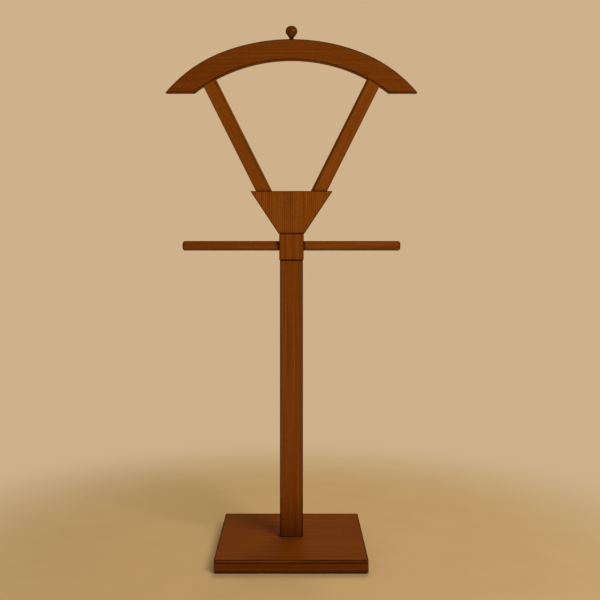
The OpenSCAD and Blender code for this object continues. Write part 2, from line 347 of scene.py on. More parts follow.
@dataclass(frozen=True)
class StainedWood:
    """Dark walnut-stained wood under a satin varnish.

    Fields:
        name: the material's name.
        grain: which way the board was sawn.
        lean: angle of the grain from that way, about Y.
        heart: where the tree's centre lay, across the board and through its thickness.
        bias: how much lighter (or, below 0, darker) the stain took than on the stand's average.
        figure: strength of the growth rings.
        wander: how far the rings stray from true circles.
        streak: strength of the fine fibre lines.
        shift: how far along the tree this board was cut.
        ring_gap: spacing of the growth rings.
        foot_shade: how much darker the wood is near the floor.
        matt: the varnish's least roughness.
        shine: how strongly it mirrors.
        deep, middle, light: the stain's colour, from its darkest tone to its lightest.
        line: colour of the pores, and of the painted shade on an edge.
    """

    name: str
    grain: Grain
    lean: float = 0.0
    heart: tuple[float, float] = (0.045, 0.03)
    bias: float = 0.0
    figure: float = 1.0
    wander: float = 3.2
    streak: float = 1.0
    shift: float = 0.0
    ring_gap: float = 3.4 * MM
    foot_shade: float = 0.0
    matt: float = 0.30
    shine: float = 0.20
    deep: Colour = (0.088, 0.0200, 0.0012)
    middle: Colour = (0.172, 0.0440, 0.0030)
    light: Colour = (0.260, 0.0780, 0.0066)
    line: Colour = (0.013, 0.0032, 0.0007)

    def make(self) -> Material:
        """Builds the material.

        Returns:
            The material.
        """
        material, bench, shader = new_material(self.name)
        along = self.board_vector(bench)
        fibres = bench.stretched(along, FIBRES, roughness=0.5)
        clouds = bench.stretched(along, CLOUDS)
        pores = bench.span(bench.stretched(along, PORES, 1.0), 0.60, 0.70)

        colour = self.stain(bench, along, fibres, clouds)
        colour = bench.blend(bench.math("MULTIPLY", pores, 0.5), colour, self.line)
        colour = self.edges(bench, along, colour)
        if self.foot_shade:
            height = bench.add("ShaderNodeSeparateXYZ", {0: bench.place()}).outputs["Z"]
            colour = bench.blend(bench.span(height, 0.025, 0.10, self.foot_shade, 0.0), colour, self.line)

        uneven = bench.total([(clouds, 0.10), (fibres, 0.10), (pores, 0.12)])
        height = bench.math("SUBTRACT", bench.math("MULTIPLY", fibres, 0.35), pores)
        bench.finish(shader, colour, bench.math("ADD", uneven, self.matt), height, 0.35, 0.06 * MM)
        shader.inputs["Specular IOR Level"].default_value = self.shine
        shader.inputs["Specular Tint"].default_value = (1.0, 0.76, 0.46, 1.0)
        return material

    def stain(
        self,
        bench: Bench,
        along: NodeSocket,
        fibres: NodeSocket,
        clouds: NodeSocket,
    ) -> NodeSocket:
        """The stain's colour on the bare faces, from the rings, fibres, strands and clouds.

        Args:
            bench: the bench on the material's node tree.
            along: the board's own coordinates.
            fibres: the fine fibre pattern.
            clouds: the broad cloud pattern.

        Returns:
            The colour's socket.
        """
        parts = [
            (self.rings(bench, along), RING_TONE * self.figure),
            (fibres, FIBRE_TONE * self.streak),
            (bench.stretched(along, STRANDS), STRAND_TONE),
            (clouds, CLOUD_TONE),
        ]
        centre = sum(weight for _, weight in parts) / 2 - 2 * TONE_REACH * self.bias
        tone = bench.span(bench.total(parts), centre - TONE_REACH, centre + TONE_REACH)
        return bench.ramp(tone, [(0.0, self.deep), (0.5, self.middle), (1.0, self.light)])

    def board_vector(self, bench: Bench) -> NodeSocket:
        """The board's own coordinates.

        Args:
            bench: the bench on the material's node tree.

        Returns:
            Object coordinates turned so that the grain runs along X, with the tree's centre line on X.
        """
        turn = (0.0, self.grain.value - self.lean, 0.0)
        board = bench.add("ShaderNodeMapping", {"Vector": bench.place(), "Rotation": turn})
        moved = (self.shift, self.heart[1], self.heart[0])
        return bench.vector("ADD", board.outputs["Vector"], moved)

    def rings(self, bench: Bench, along: NodeSocket) -> NodeSocket:
        """Growth rings about the tree's centre line, wandering slowly along the board.

        Args:
            bench: the bench on the material's node tree.
            along: the board's own coordinates.

        Returns:
            The pattern's socket, 0 to 1.
        """
        inputs = {
            "Vector": bench.vector("MULTIPLY", along, (0.10, 1.0, 1.0)),
            "Scale": math.tau / (20 * self.ring_gap),
            "Distortion": self.wander,
            "Detail": 2.0,
            "Detail Scale": 0.6,
            "Detail Roughness": 0.5,
        }
        options = {"wave_type": "RINGS", "rings_direction": "X", "wave_profile": "SAW"}
        return bench.add("ShaderNodeTexWave", inputs, **options).outputs["Fac"]

    def edges(
        self, bench: Bench, along: NodeSocket, colour: NodeSocket
    ) -> NodeSocket:
        """Painted shade, dark and uneven, along each eased edge, and on its middle a little lighter wear that
        is also a painted highlight.

        Args:
            bench: the bench on the material's node tree.
            along: the board's own coordinates.
            colour: the colour of the faces.

        Returns:
            The colour's socket, with the edges in it.
        """
        arris = bench.add("ShaderNodeAttribute", attribute_name=PAINTED_SHADING).outputs["Fac"]
        patches = bench.stretched(along, SHADE_PATCHES, 3.0)
        # painted edge shade, stronger in some patches than in others
        shade_strength = bench.span(patches, 0.3, 0.62, 0.88, 0.74)
        edge_shade = bench.math("MULTIPLY", bench.span(arris, 0.1, 0.95), shade_strength)
        # lighter middle of a rounding: rubbed wear and painted highlight
        worn_highlight = bench.span(patches, 0.5, 0.7, 0.0, 0.5)
        rubbed_highlight = bench.math("MULTIPLY", bench.span(arris, 1.5, 2.0), worn_highlight)
        return bench.blend(rubbed_highlight, bench.blend(edge_shade, colour, self.line), self.light)


@dataclass(frozen=True)
class RawBeech:
    """Pale, unstained dowel wood with short flecks.

    Fields:
        name: the material's name.
        pale: the wood's colour.
        fleck: colour of its flecks.
        fineness: flecks for each metre along X, Y and Z.
    """

    name: str = "raw_beech"
    pale: Colour = (0.62, 0.42, 0.22)
    fleck: Colour = (0.42, 0.24, 0.10)
    fineness: Triple = (400.0, 400.0, 40.0)

    def make(self) -> Material:
        """Builds the material.

        Returns:
            The material.
        """
        material, bench, shader = new_material(self.name)
        flecks = bench.stretched(bench.place(), self.fineness)
        colour = bench.ramp(flecks, [(0.35, self.pale), (0.72, self.fleck)])
        bench.finish(shader, colour, bench.span(flecks, 0.3, 0.7, 0.55, 0.75), flecks, 0.3, 0.05 * MM)
        return material


@dataclass(frozen=True)
class TurnedMetal:
    """Plated or plain metal with fine turning marks.

    Fields:
        name: the material's name.
        bright: colour of the clean metal.
        dull: colour where the plating has dulled.
        blotches: dull places for each metre.
        marks: turning marks for each metre along X, Y and Z.
    """

    name: str
    bright: Colour
    dull: Colour
    blotches: float = 320.0
    marks: Triple = (300.0, 300.0, 5200.0)

    def make(self) -> Material:
        """Builds the material.

        Returns:
            The material.
        """
        material, bench, shader = new_material(self.name)
        place = bench.place()
        blotches = bench.noise(place, self.blotches, 3.0)
        marks = bench.stretched(place, self.marks, 1.0)
        colour = bench.ramp(blotches, [(0.35, self.bright), (0.75, self.dull)])
        bench.finish(shader, colour, bench.span(blotches, 0.3, 0.7, 0.26, 0.44), marks, 0.25, 0.03 * MM)
        shader.inputs["Metallic"].default_value = 1.0
        return material


@dataclass(frozen=True)
class PressedFelt:
    """Dense brown felt with loose fibres and a soft sheen.

    Fields:
        name: the material's name.
        dark: colour between the fibres.
        fluff: the fibres' colour.
        fibres: fibres for each metre.
        clumps: clumps of them for each metre.
    """

    name: str = "pressed_felt"
    dark: Colour = (0.022, 0.012, 0.007)
    fluff: Colour = (0.075, 0.047, 0.030)
    fibres: float = 2600.0
    clumps: float = 420.0

    def make(self) -> Material:
        """Builds the material.

        Returns:
            The material.
        """
        material, bench, shader = new_material(self.name)
        place = bench.place()
        fibres = bench.noise(place, self.fibres, 4.0, roughness=0.7, distortion=1.2)
        clumps = bench.noise(place, self.clumps)
        mixed = bench.total([(fibres, 0.65), (clumps, 0.35)])
        colour = bench.ramp(mixed, [(0.34, self.dark), (0.68, self.fluff)])
        bench.finish(shader, colour, bench.span(clumps, 0.3, 0.7, 0.86, 0.98), mixed, 0.8, 0.25 * MM)
        shader.inputs["Specular IOR Level"].default_value = 0.2
        shader.inputs["Sheen Weight"].default_value = 0.35
        shader.inputs["Sheen Roughness"].default_value = 0.5
        return material


# --------------------------------------------------------------------------------------------------------
# Mesh work
# --------------------------------------------------------------------------------------------------------


def new_piece(name: str, mesh: Mesh | None = None) -> Object:
    """Makes an object at the origin and links it to the scene.

    Args:
        name: the object's name.
        mesh: its mesh, or nothing for an empty one.

    Returns:
        The object.
    """
    piece = bpy.data.objects.new(name, mesh or bpy.data.meshes.new(name))
    bpy.context.scene.collection.objects.link(piece)
    return piece


def settle(piece: Object) -> Object:
    """Turns what the piece's modifiers make into its plain mesh and removes them.

    Args:
        piece: an object with modifiers.

    Returns:
        The same object.
    """
    graph = bpy.context.evaluated_depsgraph_get()
    graph.update()
    made = piece.evaluated_get(graph)
    mesh = bpy.data.meshes.new_from_object(made, preserve_all_data_layers=True, depsgraph=graph)
    old = piece.data
    piece.modifiers.clear()
    piece.data = mesh
    mesh.name = piece.name
    if old.users == 0:
        bpy.data.meshes.remove(old)
    return piece


def orient(piece: Object) -> Object:
    """Merges doubles and turns every face outwards.

    Args:
        piece: an object with a closed mesh.

    Returns:
        The same object.
    """
    work = bmesh.new()
    work.from_mesh(piece.data)
    bmesh.ops.remove_doubles(work, verts=work.verts, dist=WELD)
    bmesh.ops.recalc_face_normals(work, faces=work.faces)
    if work.calc_volume(signed=True) < 0:
        bmesh.ops.reverse_faces(work, faces=work.faces)
    work.to_mesh(piece.data)
    work.free()
    return piece


def cut_away(piece: Object, cutters: Iterable[Object]) -> Object:
    """Cuts each cutter out of the piece and removes the cutter.

    Args:
        piece: the object to cut.
        cutters: closed objects.

    Returns:
        The piece.
    """
    for cutter in cutters:
        modifier = piece.modifiers.new("cut", "BOOLEAN")
        modifier.operation = "DIFFERENCE"
        modifier.solver = "EXACT"
        modifier.object = cutter
        settle(piece)
        bpy.data.objects.remove(cutter)
    return piece


def ease_edges(
    piece: Object,
    width: float,
    share: Callable[[Vector], float] | None = None,
    angle: float = 28.0,
    inset: bool = True,
) -> Object:
    """Rounds the piece's sharp edges and marks them in its PAINTED_SHADING attribute.

    Args:
        piece: a closed mesh.
        width: how far the rounding reaches from each edge.
        share: for the middle of an edge, the share of that width that it gets.
        angle: the least turn between two faces, in degrees, that counts as an edge.
        inset: whether the faces need a border for the painted edge shade to fade over.

    Returns:
        The same piece.
    """
    work = bmesh.new()
    work.from_mesh(piece.data)
    limit = math.radians(angle)
    sharp = {edge for edge in work.edges if edge.calc_face_angle(0.0) > limit}
    for region in smooth_regions(work, sharp) if inset else ():
        breadth = 2 * sum(f.calc_area() for f in region) / region_border(region)
        band = min(width + SHADE_BAND, BORDER_SHARE * breadth)
        if band > BORDER_LEAST * width:
            bmesh.ops.inset_region(
                work, faces=region, thickness=band, use_even_offset=True, use_boundary=True
            )
    weights = work.edges.layers.float.new("bevel_weight_edge")
    for edge in work.edges:
        if edge.calc_face_angle(0.0) > limit:
            middle = (edge.verts[0].co + edge.verts[1].co) / 2
            edge[weights] = share(middle) if share else 1.0
    for face in work.faces:
        face.smooth = True
        face.material_index = 0
    work.to_mesh(piece.data)
    work.free()
    piece.data.materials.clear()
    # two empty slots let the rounded faces be told from the others
    piece.data.materials.append(None)
    piece.data.materials.append(None)
    bevel = piece.modifiers.new("ease", "BEVEL")
    bevel.width = width
    bevel.segments = EASE_SEGMENTS
    bevel.limit_method = "WEIGHT"
    bevel.use_clamp_overlap = True
    bevel.harden_normals = True
    bevel.material = 1
    settle(piece)
    mark_arris(piece.data)
    return piece


def smooth_regions(work: BMesh, sharp: set[BMEdge]) -> list[list[BMFace]]:
    """Groups the faces into regions that sharp edges part.

    Args:
        work: the mesh.
        sharp: its sharp edges.

    Returns:
        The regions, in the order of their first faces.
    """
    reached: set[BMFace] = set()
    regions = []
    for first in work.faces:
        if first in reached:
            continue
        reached.add(first)
        region = [first]
        for face in region:
            for edge in face.edges:
                fresh = [f for f in edge.link_faces if f not in reached] if edge not in sharp else []
                reached.update(fresh)
                region += fresh
        regions.append(region)
    return regions


def region_border(region: list[BMFace]) -> float:
    """Length of a region's border.

    Args:
        region: the region's faces.

    Returns:
        The length of the edges that it shares with faces outside it.
    """
    inside = set(region)
    edges = dict.fromkeys(edge for face in region for edge in face.edges)
    return sum(e.calc_length() for e in edges if any(f not in inside for f in e.link_faces))


def mark_arris(mesh: Mesh) -> None:
    """Writes how far into a rounded edge each vertex lies: 0 on the faces, 1 at its start, 2 at its middle.

    Args:
        mesh: a mesh whose rounded faces have the second material slot. Its slots are cleared.
    """
    rounded = {i for polygon in mesh.polygons if polygon.material_index == 1 for i in polygon.vertices}
    flat = {i for polygon in mesh.polygons if polygon.material_index == 0 for i in polygon.vertices}
    neighbours: dict[int, set[int]] = {i: set() for i in rounded}
    for edge in mesh.edges:
        a, b = edge.vertices
        if a in rounded and b in rounded:
            neighbours[a].add(b)
            neighbours[b].add(a)
    values = [0.0] * len(mesh.vertices)
    front = rounded & flat
    reached = set(front)
    level = 0.0
    while front:
        for index in front:
            values[index] = 1.0 + min(1.0, level / (EASE_SEGMENTS / 2))
        level += 1.0
        front = {n for index in front for n in neighbours[index]} - reached
        reached |= front
    write_arris(mesh, values)
    mesh.polygons.foreach_set("material_index", [0] * len(mesh.polygons))
    mesh.materials.clear()


def write_arris(mesh: Mesh, values: list[float]) -> None:
    """Gives a mesh its PAINTED_SHADING attribute, from each vertex's value."""
    mesh.attributes.new(PAINTED_SHADING, "FLOAT", "POINT").data.foreach_set("value", values)


def shell(name: str, loops: list[list[Triple]], arris: Iterable[float] = ()) -> Object:
    """A closed piece whose skin runs through loops of points, with the first and the last filled in.

    Args:
        name: the piece's name.
        loops: the loops, with as many points in each.
        arris: the PAINTED_SHADING attribute's value on each loop, if the piece has it.

    Returns:
        The piece, with its faces outwards.
    """
    work = bmesh.new()
    layer = work.verts.layers.float.new(PAINTED_SHADING) if arris else None
    skin = [[work.verts.new(point) for point in loop] for loop in loops]
    for loop, value in zip(skin, arris):
        for vertex in loop:
            vertex[layer] = value
    work.faces.new(skin[0][::-1])
    work.faces.new(skin[-1])
    for lower, upper in zip(skin, skin[1:]):
        for i in range(len(lower)):
            j = (i + 1) % len(lower)
            work.faces.new((lower[i], lower[j], upper[j], upper[i]))
    piece = new_piece(name)
    work.to_mesh(piece.data)
    work.free()
    return orient(piece)


def prism(name: str, outline: list[tuple[float, float]], front: float, back: float) -> Object:
    """A board with the given front view.

    Args:
        name: the piece's name.
        outline: (x, z) corners of the front view, in order.
        front: y of the front face.
        back: y of the back face.

    Returns:
        The piece, with sharp edges.
    """
    return shell(name, [[(x, y, z) for x, z in outline] for y in (back, front)])


def box_outline(low: Vector, high: Vector) -> list[tuple[float, float]]:
    """The four (x, z) corners of a box's front view."""
    return [(low.x, low.z), (high.x, low.z), (high.x, high.z), (low.x, high.z)]


def slice_level(piece: Object, depths: Iterable[float]) -> None:
    """Adds an edge loop where the piece's rim crosses each depth.

    Args:
        piece: the object to slice.
        depths: y of each loop.
    """
    work = bmesh.new()
    work.from_mesh(piece.data)
    for depth in depths:
        everything = [*work.verts, *work.edges, *work.faces]
        bmesh.ops.bisect_plane(work, geom=everything, plane_co=(0, depth, 0), plane_no=(0, 1, 0))
    work.to_mesh(piece.data)
    work.free()


@dataclass(frozen=True)
class Ring:
    """One outline of a slab: a rectangle with round corners.

    Fields:
        z: its height.
        half: half its length along X and Y.
        corner: the corners' radius.
        arris: the PAINTED_SHADING attribute's value on it.
    """

    z: float
    half: tuple[float, float]
    corner: float
    arris: float = 0.0

    def points(self, centre: Vector, steps: int) -> list[Triple]:
        """The ring's points.

        Args:
            centre: the middle of the ring.
            steps: how many sides make each round corner.

        Returns:
            The points, steps + 1 for each corner.
        """
        result = []
        for quarter, signs in enumerate(((1, 1), (-1, 1), (-1, -1), (1, -1))):
            cx, cy = (sign * (half - self.corner) for sign, half in zip(signs, self.half))
            for i in range(steps + 1):
                a = math.pi / 2 * (quarter + i / steps)
                x, y = centre.x + cx + self.corner * math.cos(a), centre.y + cy + self.corner * math.sin(a)
                result.append((x, y, self.z))
        return result


def slab(name: str, centre: Vector, rings: list[Ring], steps: int = 12) -> Object:
    """A slab whose skin runs through rings, from the first, closed, to the last, closed.

    Args:
        name: the piece's name.
        centre: the middle of every ring.
        rings: the rings, in order along the skin.
        steps: how many sides make each round corner.

    Returns:
        The piece, smooth, with its faces' own normals kept.
    """
    piece = shell(name, [ring.points(centre, steps) for ring in rings], [ring.arris for ring in rings])
    piece.data.polygons.foreach_set("use_smooth", [True] * len(piece.data.polygons))
    piece.data.set_sharp_from_angle(angle=math.radians(CRISP))
    weighted = piece.modifiers.new("face_normals", "WEIGHTED_NORMAL")
    weighted.keep_sharp = True
    weighted.weight = 100
    return settle(piece)


@dataclass
class SlabSkin:
    """Collects a square slab's rings along its profile.

    Fields:
        half: half the slab's length along X and Y.
        corner: radius of its upright corners.
        rings: the rings so far.
    """

    half: tuple[float, float]
    corner: float
    rings: list[Ring] = field(default_factory=list)

    def at(self, z: float, inset: float = 0.0, arris: float = 0.0) -> None:
        """Adds a ring with the slab's own outline.

        Args:
            z: the ring's height.
            inset: how far it is set in from the slab's sides.
            arris: the PAINTED_SHADING attribute's value on it.
        """
        half = (self.half[0] - inset, self.half[1] - inset)
        self.rings.append(Ring(z, half, max(self.corner - inset, 0.4 * MM), arris))

    def hole(self, z: float, radius: float) -> None:
        """Adds a round ring at a height."""
        self.rings.append(Ring(z, (radius, radius), radius))

    def round_under(self, z: float, radius: float, dark: float) -> None:
        """Adds the rounding of a lower edge, from the underside out to the side.

        Args:
            z: height of the underside.
            radius: the rounding's radius.
            dark: how much painted shade it has, 0 to 1.
        """
        for i in range(ROUND_STEPS + 1):
            a = math.pi / 2 * i / ROUND_STEPS
            self.at(z + radius * (1 - math.cos(a)), radius * (1 - math.sin(a)), self.edge_shade(i, dark))

    def round_over(self, z: float, radius: float, dark: float) -> None:
        """Adds the rounding of an upper edge, from the side up to the top.

        Args:
            z: height of the top.
            radius: the rounding's radius.
            dark: how much painted shade it has, 0 to 1.
        """
        for i in range(ROUND_STEPS + 1):
            a = math.pi / 2 * i / ROUND_STEPS
            self.at(z - radius * (1 - math.sin(a)), radius * (1 - math.cos(a)), self.edge_shade(i, dark))

    @staticmethod
    def edge_shade(step: int, dark: float) -> float:
        """The PAINTED_SHADING attribute's value on one ring of a rounding: dark at its ends, twice that midway."""
        return dark * (1 + min(step, ROUND_STEPS - step) / (ROUND_STEPS / 2))


# --------------------------------------------------------------------------------------------------------
# Geometry node trees
# --------------------------------------------------------------------------------------------------------


def end_tree(
    bench: Bench, result: Node, shape: NodeSocket, finish: NodeSocket
) -> NodeTree:
    """Ends a tree: whatever it made becomes a plain mesh in one finish.

    Args:
        bench: the bench on the tree.
        result: the tree's output node.
        shape: the shape that it made.
        finish: the finish to set.

    Returns:
        The tree.
    """
    whole = bench.add("GeometryNodeRealizeInstances", {"Geometry": shape})
    inputs = {"Geometry": whole.outputs[0], "Material": finish}
    dressed = bench.add("GeometryNodeSetMaterial", inputs)
    bench.feed(result.inputs["Geometry"], dressed.outputs[0])
    return bench.tree


def lathe_tree() -> NodeTree:
    """A tree that turns a piece.

    Returns:
        The tree. A line of points, each with its radius, becomes a closed round surface.
    """
    sockets = {"Axis": "NodeSocketGeometry", "Sides": "NodeSocketInt", "Finish": "NodeSocketMaterial"}
    bench, given, result = new_geometry_tree("lathe", sockets)
    g = given.outputs
    curve = bench.add("GeometryNodeMeshToCurve", {"Mesh": g["Axis"]})
    radius = bench.add("GeometryNodeInputNamedAttribute", {"Name": TURN_RADIUS}, data_type="FLOAT")
    circle = bench.add("GeometryNodeCurvePrimitiveCircle", {"Resolution": g["Sides"], "Radius": 1.0})
    inputs = {"Curve": curve.outputs[0], "Profile Curve": circle.outputs[0], "Scale": radius.outputs[0]}
    skin = bench.add("GeometryNodeCurveToMesh", inputs)
    closed = bench.add("GeometryNodeMergeByDistance", {"Geometry": skin.outputs[0], "Distance": WELD})
    return end_tree(bench, result, closed.outputs[0], g["Finish"])


def pads_tree() -> NodeTree:
    """A tree that sets a round pad with a rounded rim at each corner of a rectangle.

    Returns:
        The tree.
    """
    sockets = {name: "NodeSocketFloat" for name in ("Spread X", "Spread Y", "Radius", "Thickness")}
    sockets["Finish"] = "NodeSocketMaterial"
    bench, given, result = new_geometry_tree("corner_pads", sockets)
    g = given.outputs
    inputs = {"Size X": g["Spread X"], "Size Y": g["Spread Y"], "Vertices X": 2, "Vertices Y": 2}
    corners = bench.add("GeometryNodeMeshGrid", inputs)
    top = bench.add("ShaderNodeCombineXYZ", {"Z": g["Thickness"]})
    axis = bench.add("GeometryNodeCurvePrimitiveLine", {"End": top.outputs[0]})
    axis = bench.add("GeometryNodeResampleCurve", {"Curve": axis.outputs[0], "Count": 13})
    share = bench.add("GeometryNodeSplineParameter").outputs["Factor"]
    # the rim's profile is a flattened circle: full for most of the height, rounded in at both faces
    from_middle = bench.math("ABSOLUTE", bench.math("SUBTRACT", bench.math("MULTIPLY", share, 2.0), 1.0))
    drawn_in = bench.math("MULTIPLY", bench.math("POWER", from_middle, 6.0), 0.06)
    radius = bench.math("MULTIPLY", g["Radius"], bench.math("SUBTRACT", 1.0, drawn_in))
    circle = bench.add("GeometryNodeCurvePrimitiveCircle", {"Resolution": 48, "Radius": 1.0})
    inputs = {"Curve": axis.outputs[0], "Profile Curve": circle.outputs[0], "Scale": radius}
    pad = bench.add("GeometryNodeCurveToMesh", {**inputs, "Fill Caps": True})
    inputs = {"Points": corners.outputs["Mesh"], "Instance": pad.outputs[0]}
    placed = bench.add("GeometryNodeInstanceOnPoints", inputs)
    return end_tree(bench, result, placed.outputs[0], g["Finish"])


def arch_tree() -> NodeTree:
    """A tree that makes the shoulder arch from its rule.

    The top is a flat crown arc that turns into a tighter shoulder arc at each side. The underside is one arc,
    and each end is cut level. A strip of columns gets its top and bottom from the rule, then its thickness.

    Returns:
        The tree.
    """
    names = (
        "Half Width", "Heel X", "Heel Share", "End Z", "Crown Radius", "Crown Centre Z", "Turn X", "Border",
        "Shoulder Radius", "Shoulder X", "Shoulder Z", "Under Radius", "Under Centre Z", "Front Y", "Depth",
    )  # fmt: skip
    sockets = {name: "NodeSocketFloat" for name in names}
    sockets.update({"Columns": "NodeSocketInt", "Finish": "NodeSocketMaterial"})
    bench, given, result = new_geometry_tree("three_centred_arch", sockets)
    g = given.outputs
    inputs = {"Size X": 2.0, "Size Y": 1.0, "Vertices X": g["Columns"], "Vertices Y": 4}
    strip = bench.add("GeometryNodeMeshGrid", inputs)
    place = bench.add("ShaderNodeSeparateXYZ", {"Vector": bench.add("GeometryNodeInputPosition").outputs[0]})
    share = bench.math("ABSOLUTE", place.outputs["X"])
    sign = bench.math("SIGN", place.outputs["X"])

    # columns: evenly spaced to the heel, then evenly spaced to the tip, so that the heel has its own column
    end_width = bench.math("SUBTRACT", g["Half Width"], g["Heel X"])
    inner = bench.span(share, 0.0, g["Heel Share"], 0.0, g["Heel X"])
    outer = bench.span(share, g["Heel Share"], 1.0, 0.0, end_width)
    x = bench.math("ADD", inner, outer)

    def arc(radius: object, centre_x: object, centre_z: object) -> tuple[NodeSocket, NodeSocket]:
        """The upper half of a circle.

        Args:
            radius: the circle's radius.
            centre_x: x of its centre.
            centre_z: z of its centre.

        Returns:
            Its height at x, and how many times its width a border of even width is high there.
        """
        across = bench.math("SUBTRACT", x, centre_x)
        squares = [bench.math("MULTIPLY", side, side) for side in (radius, across)]
        up = bench.math("SQRT", bench.math("MAXIMUM", bench.math("SUBTRACT", *squares), 1e-6))
        return bench.math("ADD", centre_z, up), bench.math("DIVIDE", radius, up)

    def choose(test: NodeSocket, no: object, yes: object) -> NodeSocket:
        """One of two numbers, by a test that is 0 or 1."""
        return bench.math("ADD", no, bench.math("MULTIPLY", test, bench.math("SUBTRACT", yes, no)))

    crown, crown_slope = arc(g["Crown Radius"], 0.0, g["Crown Centre Z"])
    shoulder, shoulder_slope = arc(g["Shoulder Radius"], g["Shoulder X"], g["Shoulder Z"])
    under, under_slope = arc(g["Under Radius"], 0.0, g["Under Centre Z"])
    past_turn = bench.math("GREATER_THAN", x, g["Turn X"])
    past_heel = bench.math("LESS_THAN", under, g["End Z"])
    bottom = choose(past_heel, under, g["End Z"])
    top = bench.math("MAXIMUM", choose(past_turn, crown, shoulder), bottom)
    most = bench.math("MULTIPLY", bench.math("SUBTRACT", top, bottom), 0.33)

    def border(slope: NodeSocket) -> NodeSocket:
        """How high the border is where its edge has this slope."""
        return bench.math("MINIMUM", bench.math("MULTIPLY", g["Border"], slope), most)

    over = border(choose(past_turn, crown_slope, shoulder_slope))
    beneath = border(choose(past_heel, under_slope, 1.0))
    rows = [bottom, bench.math("ADD", bottom, beneath), bench.math("SUBTRACT", top, over), top]
    z = bottom
    for lower, upper, limit in zip(rows, rows[1:], (-0.3, 0.0, 0.3)):
        past = bench.math("GREATER_THAN", place.outputs["Y"], limit)
        z = bench.math("ADD", z, bench.math("MULTIPLY", past, bench.math("SUBTRACT", upper, lower)))
    either_side = bench.math("MULTIPLY", x, sign)
    where = bench.add("ShaderNodeCombineXYZ", {"X": either_side, "Y": g["Front Y"], "Z": z})
    inputs = {"Geometry": strip.outputs["Mesh"], "Position": where.outputs[0]}
    face = bench.add("GeometryNodeSetPosition", inputs).outputs[0]
    through = bench.add("ShaderNodeCombineXYZ", {"Y": 1.0}).outputs[0]
    inputs = {"Mesh": face, "Offset": through, "Offset Scale": g["Depth"], "Individual": False}
    solid = bench.add("GeometryNodeExtrudeMesh", inputs, mode="FACES")
    both = bench.add("GeometryNodeJoinGeometry")
    bench.feed(both.inputs[0], face)
    bench.feed(both.inputs[0], solid.outputs["Mesh"])
    closed = bench.add("GeometryNodeMergeByDistance", {"Geometry": both.outputs[0], "Distance": WELD})
    return end_tree(bench, result, closed.outputs[0], g["Finish"])


@dataclass
class Workshop:
    """The trees and finishes that the sub-assemblies share.

    Fields:
        lathe: the tree that turns round pieces.
        pads: the tree that sets the felt pads.
        arch: the tree that makes the shoulder arch.
        metal: zinc-plated steel, for the screws, bolt and washer.
        brass: for the insert nut.
        beech: for the dowels.
        felt: for the pads.
    """

    lathe: NodeTree = field(default_factory=lathe_tree)
    pads: NodeTree = field(default_factory=pads_tree)
    arch: NodeTree = field(default_factory=arch_tree)
    metal: Material = field(
        default_factory=lambda: TurnedMetal("zinc_steel", (0.60, 0.62, 0.64), (0.38, 0.38, 0.37)).make()
    )
    brass: Material = field(
        default_factory=lambda: TurnedMetal("brass", (0.62, 0.42, 0.15), (0.36, 0.23, 0.08)).make()
    )
    beech: Material = field(default_factory=lambda: RawBeech().make())
    felt: Material = field(default_factory=lambda: PressedFelt().make())

    def turn(
        self, name: str, start: Vector, axis: Vector, profile: list[tuple[float, float]], sides: int = 64
    ) -> Object:
        """Turns a piece on the lathe.

        Args:
            name: the piece's name.
            start: where the axis begins.
            axis: the axis's direction, of length 1.
            profile: (distance along the axis, radius) of each point.
            sides: how many sides the round has.

        Returns:
            The closed piece, in metal until it is dressed.
        """
        piece = new_piece(name)
        points = [start + axis * distance for distance, _ in profile]
        piece.data.from_pydata(points, [(i, i + 1) for i in range(len(points) - 1)], [])
        radii = piece.data.attributes.new(TURN_RADIUS, "FLOAT", "POINT")
        radii.data.foreach_set("value", [radius for _, radius in profile])
        run_tree(piece, self.lathe, {"Sides": sides, "Finish": self.metal})
        return orient(piece)


def dress(
    piece: Object,
    material: Material,
    slot: Slot,
    stands_for: Iterable[str],
    sharp: float | None = None,
) -> None:
    """Gives a finished piece its material, its body and the CAD nodes that it stands for.

    Args:
        piece: the finished mesh object.
        material: its finish.
        slot: the slot for that finish; not used.
        stands_for: the CAD nodes that it replaces.
        sharp: for a piece with no eased edges, the angle in degrees past which an edge stays crisp.
    """
    mesh = piece.data
    mesh.materials.clear()
    mesh.materials.append(material)
    if sharp is not None:
        mesh.polygons.foreach_set("use_smooth", [True] * len(mesh.polygons))
        mesh.set_sharp_from_angle(angle=math.radians(sharp))
    mesh.update()
    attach(piece, BODY)
    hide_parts(*stands_for)
    low, high = (Vector(f(c[i] for c in piece.bound_box) for i in range(3)) for f in (min, max))
    log.info("%s: %d faces, %s to %s mm", piece.name, len(mesh.polygons), rounded_mm(low), rounded_mm(high))


def rounded_mm(place: Vector) -> list[float]:
    """A place in millimetres, rounded for the log."""
    return [round(c / MM, 1) for c in place]


def refinish(nodes: dict[str, Object], names: Iterable[str], material: Material, slot: Slot) -> None:
    """Gives carried-over CAD nodes a finish.

    Args:
        nodes: every CAD node's object, by its name.
        names: the nodes to finish.
        material: their finish.
        slot: the slot for that finish; not used.
    """
    for name in names:
        nodes[name].data.materials.clear()
        nodes[name].data.materials.append(material)
        log.info("%s: CAD node in %s", name, material.name)


# --------------------------------------------------------------------------------------------------------
# Sub-assemblies
# --------------------------------------------------------------------------------------------------------


